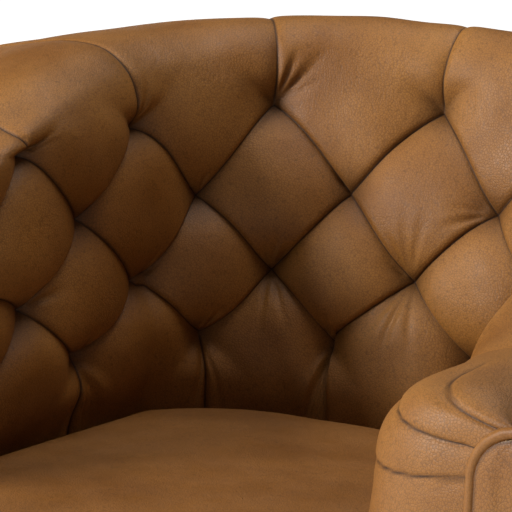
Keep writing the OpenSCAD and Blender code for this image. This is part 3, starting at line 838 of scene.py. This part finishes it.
def outside_panel(name, s0, s1, node, material):
    """One leather panel of the outside, tucked in along its seams."""
    s, v = np.meshgrid(np.linspace(s0, s1, int((s1 - s0) / 0.004)), np.linspace(0, 1, 130), indexing="ij")
    length = OUT_TOP - HEM_Z
    ends = [e for e in (s0, s1) if abs(abs(e) - seam_s()) < 1e-6]
    out = np.zeros(s.shape)
    # fold: painted shade along the tucked seams and the top and bottom edges
    fold = np.zeros(s.shape)
    for e in ends:
        away = np.abs(s - e)
        out -= 0.0035 * np.exp(-(away / 0.005) ** 2)
        out += 0.0008 * np.exp(-((away - 0.011) / 0.004) ** 2)
        fold = np.maximum(fold, 0.8 * np.exp(-(away / 0.0022) ** 2))
    for away in (v * length, (1 - v) * length):
        out -= 0.0022 * np.exp(-(away / 0.005) ** 2)
        fold = np.maximum(fold, 0.5 * np.exp(-(away / 0.003) ** 2))
    pucker = np.sin(s * 310 + 2 * np.sin(s * 41)) * np.exp(-v * length / 0.03)
    drag = np.sin(s * 23 + 5 * v + 2 * np.sin(s * 9)) * np.sin(math.pi * v) * 0.0009
    out += 0.0005 * pucker + drag
    obj = grid_object(name, outside_point(s, v, out), material, "leather_cover", CHAIR, fold=fold)
    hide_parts(node)


def outside_stitching(material):
    """Two rows of stitches in front of each outside seam."""
    for side in (-1, 1):
        for away in (0.008, 0.011):
            s = side * (seam_s() + away)
            v = np.linspace(0.01, 0.99, 80)
            line = outside_point(np.full(80, s), v, 0.0012)
            inner = outside_point(np.full(80, s), v, 0.0)
            name = f"outside_stitch_{SIDE_NAME[side]}_{round(away / MM)}"
            stitches(name, line, line - inner, material, CHAIR)


def outside_welt(material):
    """Piping between the rim and the outside covers."""
    s = np.linspace(-WALL_END + 0.002, WALL_END - 0.002, 900)
    line = outside_point(s, np.zeros(900), 0.0030)
    line[:, 2] += 0.001
    obj = tube("outside_welt_cord", even(line, 0.003), 0.0036, material, CHAIR)
    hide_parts("outside_welt")


# ---------------------------------------------------------------- facings
def facing_outline(r):
    """Outline of a facing in its own plane, r out from its arch's centre, hem to hem."""
    n = 90
    up = np.linspace(HEM_Z, FACE_Z, n)
    turn = np.linspace(0, math.pi, n)
    left = np.stack([np.full(n, -r), up], -1)
    arch = np.stack([-r * np.cos(turn), FACE_Z + r * np.sin(turn)], -1)
    right = np.stack([np.full(n, r), up[::-1]], -1)
    return np.concatenate([left, arch[1:-1], right])


def facing_panel(side, material):
    """The covered board at the front of an arm, slightly domed over its wadding."""
    name = SIDE_NAME[side]
    arch = np.linspace(0, QUARTER, 30)[1:]
    z = np.concatenate([np.linspace(HEM_Z, FACE_Z, 150), FACE_Z + FACE_R * np.sin(arch)])
    half = np.sqrt(np.maximum(FACE_R ** 2 - np.maximum(z - FACE_Z, 0) ** 2, 1e-9))
    t = np.linspace(-1, 1, 41)
    x = half[:, None] * t
    zz = np.repeat(z[:, None], 41, 1)
    from_arch = FACE_R - np.hypot(x, np.maximum(zz - FACE_Z, 0)) + 1e-4
    edge = np.minimum(half[:, None] * (1 - np.abs(t)), np.minimum(from_arch, zz - HEM_Z + 0.004))
    dome = 1 - np.exp(-np.maximum(edge, 0) / 0.008)
    y = FRONT_Y + 0.0034 - 0.0036 * dome + 0.0004 * np.sin(zz * 37 + 9 * t) * dome
    points = np.stack([side * (INSIDE_HALF + FACE_MID) + x, y, zz], -1)
    if side > 0:
        points, edge = points[:, ::-1], edge[:, ::-1]
    # painted shade along the edge, under the piping
    fold = 0.7 * np.exp(-(edge / 0.0025) ** 2)
    obj = grid_object(f"facing_panel_{name}", points, material, "leather_cover", CHAIR, fold=fold)
    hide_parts(f"facing_cover_{name}")


def facing_piping(side, material):
    """Piping round the edge of a facing."""
    name = SIDE_NAME[side]
    flat = facing_outline(FACE_R + 0.0040)
    line = np.stack([side * (INSIDE_HALF + FACE_MID) + flat[:, 0], np.full(len(flat), FRONT_Y + 0.0075),
                     flat[:, 1]], -1)
    obj = tube(f"facing_piping_{name}", even(line, 0.003), 0.0043, material, CHAIR)
    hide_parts(f"facing_welt_{name}")


# ---------------------------------------------------------------- front border and undersides
def front_border(material):
    """Padded leather band between the arms, below the cushion."""
    lo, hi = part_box("front_border_cover")
    x, v = np.meshgrid(np.linspace(lo[0], hi[0], 300), np.linspace(0, 1, 90), indexing="ij")
    height = hi[2] - lo[2]
    edge = np.minimum(v, 1 - v) * height
    near_end = np.minimum(x - lo[0], hi[0] - x)
    bulge = (1 - np.exp(-edge / 0.016)) * (1 - np.exp(-near_end / 0.020))
    drag = np.sin(x * 31 + 4 * v) * np.sin(math.pi * v) * 0.0007
    y = lo[1] + 0.0022 - 0.0052 * bulge + drag
    points = np.stack([x, y, lo[2] + height * v], -1)
    roll = [(0.004, 0.0006), (0.010, 0.0002), (0.018, -0.0008), (0.026, -0.004)]
    back = [np.stack([x[:, -1], y[:, -1] + dy, np.full(300, hi[2] + dz)], -1) for dy, dz in roll]
    points = np.concatenate([points, np.stack(back, 1)], 1)
    # painted shade along the top and bottom edges
    fold = np.concatenate([0.6 * np.exp(-(edge / 0.004) ** 2), np.zeros((300, len(roll)))], 1)
    obj = grid_object("front_border", points, material, "leather_cover", CHAIR, fold=fold)
    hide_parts("front_border_cover", "front_border_pad")


def seat_outline(out, front_gap):
    """Closed outline inside the walls at seat level, from the front left corner round the back."""
    n, corner = 420, 0.030
    front = FRONT_Y + front_gap
    straight_end = SIDE_START + (ROW_Y + CORNER_Y - front - corner)
    s = np.linspace(-straight_end, straight_end, 500)
    x, y, turn, _ = wall_line(np.clip(s, -NOSE_START, NOSE_START))
    ahead = np.maximum(np.abs(s) - SIDE_START, 0)
    y = np.where(np.abs(s) > SIDE_START, ROW_Y + CORNER_Y - ahead, y)
    u = out - LEAN_FOOT * (SIDE_LEAN + (1 - SIDE_LEAN) * np.cos(turn))
    line = np.stack([x + u * np.sin(turn), y + u * np.cos(turn)], -1)
    end = line[-1]
    turn = np.linspace(0, QUARTER, 24)[1:]
    arc = np.stack([end[0] - corner + corner * np.cos(turn), end[1] - corner * np.sin(turn)], -1)
    other = arc[::-1] * (-1, 1)
    front_x = np.linspace(arc[-1][0], other[0][0], 160)[1:-1]
    front_line = np.stack([front_x, np.full(158, arc[-1][1])], -1)
    loop = np.concatenate([line, arc, front_line, other, line[:1]])
    return even(loop, np.linalg.norm(np.diff(loop, axis=0), axis=1).sum() / n)[:-1]


def outline_normals(line):
    """Outward normals of a closed outline."""
    along = np.roll(line, -1, 0) - np.roll(line, 1, 0)
    n = np.stack([-along[:, 1], along[:, 0]], -1)
    n /= np.linalg.norm(n, axis=1, keepdims=True)
    outward = np.einsum("ij,ij->i", n, line - line.mean(0))
    return n * np.sign(outward.mean())


# Cushion's outline: how far it stands in from the walls and behind the facings
CUSHION_INSET, CUSHION_FRONT = 0.0045, 0.0195


def seat_cushion(material, cord_material):
    """Loose box cushion: crowned top, boxing between two lines of piping."""
    lo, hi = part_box("cushion_cover")
    line = seat_outline(-CUSHION_INSET, CUSHION_FRONT)
    normal = outline_normals(line)
    n = len(line)
    centre = np.array([0.0, line[:, 1].mean()])
    top_seam, low_seam = hi[2] - 0.0185, lo[2] + 0.016
    crown = hi[2] - top_seam + 0.012
    around = np.arange(n)
    # folds holds painted shade, darkest at both seams and fading away from them
    ring_list, folds = [], []

    def ring(scale, inset, z, fold=0.0):
        p = centre + (line - centre) * scale - normal * np.broadcast_to(inset, n)[:, None]
        ring_list.append(np.concatenate([p, np.broadcast_to(np.asarray(z, float), n)[:, None]], 1))
        folds.append(np.full(n, fold))

    pucker = np.sin(around * 0.9 + 2.5 * np.sin(around * 0.071)) * (0.6 + 0.4 * np.sin(around * 0.23))
    for k in range(96):
        t = k / 95
        scale = t ** 0.9 * (1 - 0.004)
        away = 1 - t
        lift = crown * (0.80 * (1 - scale ** 16) + 0.20 * (1 - scale ** 2.4))
        swing = np.cos(around / n * 2 * math.pi)
        dip = 0.0007 * np.sin(5.1 * scale * swing + 1.0) * np.sin(4.3 * scale)
        z = top_seam + 0.002 + lift + 0.0009 * pucker * math.exp(-away / 0.045) + dip
        ring(scale, 0.0015, z, 0.75 * math.exp(-(away / 0.008) ** 2))
    ring(1.0, 0.0035, top_seam - 0.001, 1.0)
    for k in range(26):
        t = k / 25
        belly = 0.0042 * math.sin(math.pi * t) ** 0.7
        z = top_seam - 0.003 + (low_seam + 0.003 - top_seam + 0.003) * t
        fade = math.exp(-min(t, 1 - t) / 0.12)
        fold = 0.7 * math.exp(-(min(t, 1 - t) / 0.03) ** 2)
        ring(1.0, 0.0025 - belly + 0.0008 * pucker * fade, z, fold)
    ring(1.0, 0.0035, low_seam + 0.001, 1.0)
    for k in range(20):
        t = k / 19
        z = lo[2] + 0.0008 + (low_seam - lo[2] - 0.003) * max(0.0, 1 - t * 9) ** 2
        ring((1 - t) * 0.996 + 1e-4, 0.0015, z)
    obj = new_object("cushion_body", np.concatenate(ring_list), ring_faces(len(ring_list), n), material,
                     CUSHION)
    paint(obj, "fold", np.concatenate(folds))
    fix_normals(obj)
    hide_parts("cushion_cover", "cushion_core")
    for name, z in (("top", top_seam), ("bottom", low_seam)):
        loop = np.concatenate([line + normal * 0.0004, np.full((n, 1), z)], 1)
        tube(f"cushion_piping_{name}", loop, 0.0040, cord_material, CUSHION, closed=True)


def fix_normals(obj):
    """Merge doubled points and turn every face outwards."""
    bm = bmesh.new()
    bm.from_mesh(obj.data)
    bmesh.ops.remove_doubles(bm, verts=bm.verts, dist=1e-6)
    bmesh.ops.recalc_face_normals(bm, faces=bm.faces)
    bm.to_mesh(obj.data)
    bm.free()


def cushion_zip(steel, tape):
    """Zip in the cushion's back boxing: a cloth tape with two rows of teeth."""
    lo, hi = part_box("cushion_zip")
    back = seat_outline(-CUSHION_INSET, CUSHION_FRONT)
    y = back[:, 1].max() + 0.0035
    z = (lo[2] + hi[2]) / 2
    x, w = np.meshgrid(np.linspace(lo[0], hi[0], 160), np.linspace(-0.008, 0.008, 9), indexing="ij")
    bend = BACK_R - 0.1
    curve = bend - np.sqrt(bend ** 2 - x ** 2)
    points = np.stack([x, y - curve + 0.0006 * np.cos(w * 300), z + w], -1)
    grid_object("zip_tape", points, tape, "lining_cloth", CUSHION)
    verts, faces = [], []
    for i, px in enumerate(np.arange(lo[0] + 0.002, hi[0] - 0.002, 0.0022)):
        c = bend - math.sqrt(bend ** 2 - px ** 2)
        dz = 0.0012 if i % 2 else -0.0012
        base = len(verts)
        for sx in (-0.0008, 0.0008):
            for sy in (0, 0.0014):
                for sz in (-0.0018, 0.0018):
                    verts.append((px + sx, y - c + 0.0004 + sy, z + dz + sz))
        for f in ((0, 1, 3, 2), (4, 6, 7, 5), (0, 4, 5, 1), (2, 3, 7, 6), (0, 2, 6, 4), (1, 5, 7, 3)):
            faces.append(tuple(base + j for j in f))
    teeth = new_object("zip_teeth", verts, faces, steel, CUSHION, smooth=False)
    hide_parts("cushion_zip")


def cloth_floor(name, node, outline, z, sag, material):
    """A stapled sheet of cloth under or inside the seat, sagging a little between its edges."""
    centre = np.array([0.0, outline[:, 1].mean()])
    rings = []
    for t in np.linspace(1, 0.0005, 40):
        p = centre + (outline - centre) * t
        wrinkle = 0.0006 * np.sin(p[:, 0] * 90 + 3 * np.sin(p[:, 1] * 40)) * (1 - t ** 6)
        rings.append(np.concatenate([p, (z - sag * (1 - t ** 2) + wrinkle)[:, None]], 1))
    faces = ring_faces(len(rings), len(outline))
    obj = new_object(name, np.concatenate(rings), faces, material, CHAIR)
    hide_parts(node)


def hem_line(inset):
    """Closed outline of the outside covers' hem, drawn in by inset."""
    s = np.linspace(-WALL_END + 0.001, WALL_END - 0.001, 400)
    p = outside_point(s, np.ones(400), -inset)[:, :2]
    return even(np.concatenate([p, p[:1]]), 0.008)[:-1]


# ---------------------------------------------------------------- room, light and camera
def floor_material():
    """Pale matt floor that glows more with distance, so the background stays white all round."""
    sh = Shader("studio_floor", 0.9)
    tone = sh.spread(sh.noise(2.0, 2.0), 0.3, 0.7)
    span = sh.nodes.new("ShaderNodeVectorMath")
    span.operation = "LENGTH"
    sh.links.new(sh.where, span.inputs[0])
    glow = sh.spread(span.outputs["Value"], 1.4, 4.5, 0.0, 0.95)
    sh.bsdf.inputs["Emission Color"].default_value = (1.0, 1.0, 1.0, 1.0)
    sh.links.new(glow, sh.bsdf.inputs["Emission Strength"])
    return sh.finish(sh.mix(tone, (0.90, 0.90, 0.90), (0.93, 0.93, 0.93)), sh.bump(tone, 0.0001))


def studio_floor():
    bpy.ops.mesh.primitive_plane_add(size=60, location=(0, 0, 0))
    floor = bpy.context.object
    floor.name = "studio_floor"
    floor.data.materials.append(floor_material())


def area_light(name, place, aim, size, power, color=(1, 1, 1)):
    data = bpy.data.lights.new(name, "AREA")
    data.shape = "DISK"
    data.size = size
    data.energy = power
    data.color = color
    light = bpy.data.objects.new(name, data)
    light.location = place
    light.rotation_euler = (Vector(aim) - Vector(place)).to_track_quat("-Z", "Y").to_euler()
    bpy.context.scene.collection.objects.link(light)


SKY_STRENGTH = 0.10


def lighting():
    """White surround at the horizon and below, dim above, with a key and a top light."""
    world = bpy.data.worlds.new("studio")
    bpy.context.scene.world = world
    world.use_nodes = True
    nodes, links = world.node_tree.nodes, world.node_tree.links
    backdrop = nodes["Background"]
    backdrop.inputs["Color"].default_value = (1.0, 0.99, 0.97, 1)
    split = nodes.new("ShaderNodeSeparateXYZ")
    fade = nodes.new("ShaderNodeMapRange")
    for socket, number in zip(RANGE_SOCKETS, (0.05, 0.10, 1.0, SKY_STRENGTH)):
        fade.inputs[socket].default_value = number
    links.new(nodes.new("ShaderNodeTexCoord").outputs["Generated"], split.inputs["Vector"])
    links.new(split.outputs["Z"], fade.inputs["Value"])
    links.new(fade.outputs["Result"], backdrop.inputs["Strength"])
    area_light("key", (-1.75, -2.45, 1.95), (0.0, 0.05, 0.55), 0.9, 150, (1.0, 0.975, 0.94))
    area_light("top", (0.1, 0.4, 3.0), (0.0, 0.1, 0.6), 1.8, 42)


# Camera solved from the tuft lattice: compass turn, fall and roll in degrees, place, lens in mm
CAM_TURN, CAM_FALL, CAM_ROLL = 35.43, 13.13, 2.29
CAM_PLACE = Vector((1.5441, ROW_Y - 2.5588, 1.2788))
CAM_LENS = 253.1


def camera():
    data = bpy.data.cameras.new("camera")
    data.lens = CAM_LENS
    data.sensor_width = 36.0
    cam = bpy.data.objects.new("camera", data)
    turn, fall = math.radians(CAM_TURN), math.radians(CAM_FALL)
    ahead = Vector((-math.sin(turn) * math.cos(fall), math.cos(turn) * math.cos(fall), -math.sin(fall)))
    flat_right = Vector((math.cos(turn), math.sin(turn), 0))
    flat_up = flat_right.cross(ahead)
    roll = math.radians(CAM_ROLL)
    right = flat_right * math.cos(roll) + flat_up * math.sin(roll)
    up = right.cross(ahead)
    cam.matrix_world = Matrix((
        (right.x, up.x, -ahead.x, CAM_PLACE.x),
        (right.y, up.y, -ahead.y, CAM_PLACE.y),
        (right.z, up.z, -ahead.z, CAM_PLACE.z),
        (0, 0, 0, 1)))
    bpy.context.scene.collection.objects.link(cam)
    bpy.context.scene.camera = cam


def repaint(mats):
    """Better surfaces on the CAD pieces that stay."""
    slots = {row["node"]: row["material_slot"] for row in frame["record"]["subparts"]}
    for name, obj in frame["nodes"].items():
        mat = mats.get(slots.get(name))
        if mat is not None:
            obj.data.materials.clear()
            obj.data.materials.append(mat)


def build():
    hide = leather("chair_leather")
    cord = leather("piping_leather", grain=0.5)
    dark_cloth = woven("black_lining", (0.012, 0.012, 0.012), (0.03, 0.03, 0.03))
    sewn = thread()
    steel = plated_steel()
    repaint({"leg_wood": stained_wood(), "frame_wood": raw_wood(), "steel": steel,
             "glide_plastic": nylon(), "lining_cloth": dark_cloth,
             "foam": woven("foam_wrap", (0.70, 0.66, 0.52), (0.80, 0.76, 0.62), 1400.0)})
    wall = tufted_wall(hide)
    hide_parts("inside_cover", "back_pad", "side_pad_left", "side_pad_right", "nose_pad_left",
                "nose_pad_right")
    seam = seam_s()
    outside_panel("outside_back", -seam, seam, "outside_back_cover", hide)
    outside_panel("outside_left", -WALL_END, -seam, "outside_side_cover_left", hide)
    outside_panel("outside_right", seam, WALL_END, "outside_side_cover_right", hide)
    outside_stitching(sewn)
    outside_welt(cord)
    for side in (-1, 1):
        facing_panel(side, hide)
        facing_piping(side, cord)
    front_border(hide)
    # the cushion gets the darker copy of the hide, as painted shade
    seat_cushion(leather("shaded_seat_leather", SHADED_SEAT_LIGHT, SHADED_SEAT_DARK), cord)
    cushion_zip(steel, dark_cloth)
    cloth_floor("deck_cloth", "deck_panel", seat_outline(0.010, 0.030), DECK_Z - 0.0004, 0.003,
                woven("deck_twill", (0.10, 0.085, 0.06), (0.16, 0.13, 0.10)))
    cloth_floor("dust_sheet", "dust_cover", hem_line(0.010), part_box("dust_cover")[0][2] + 0.0006,
                0.0015, dark_cloth)
    studio_floor()
    lighting()
    camera()
    bpy.context.scene.view_settings.view_transform = "Standard"


build()
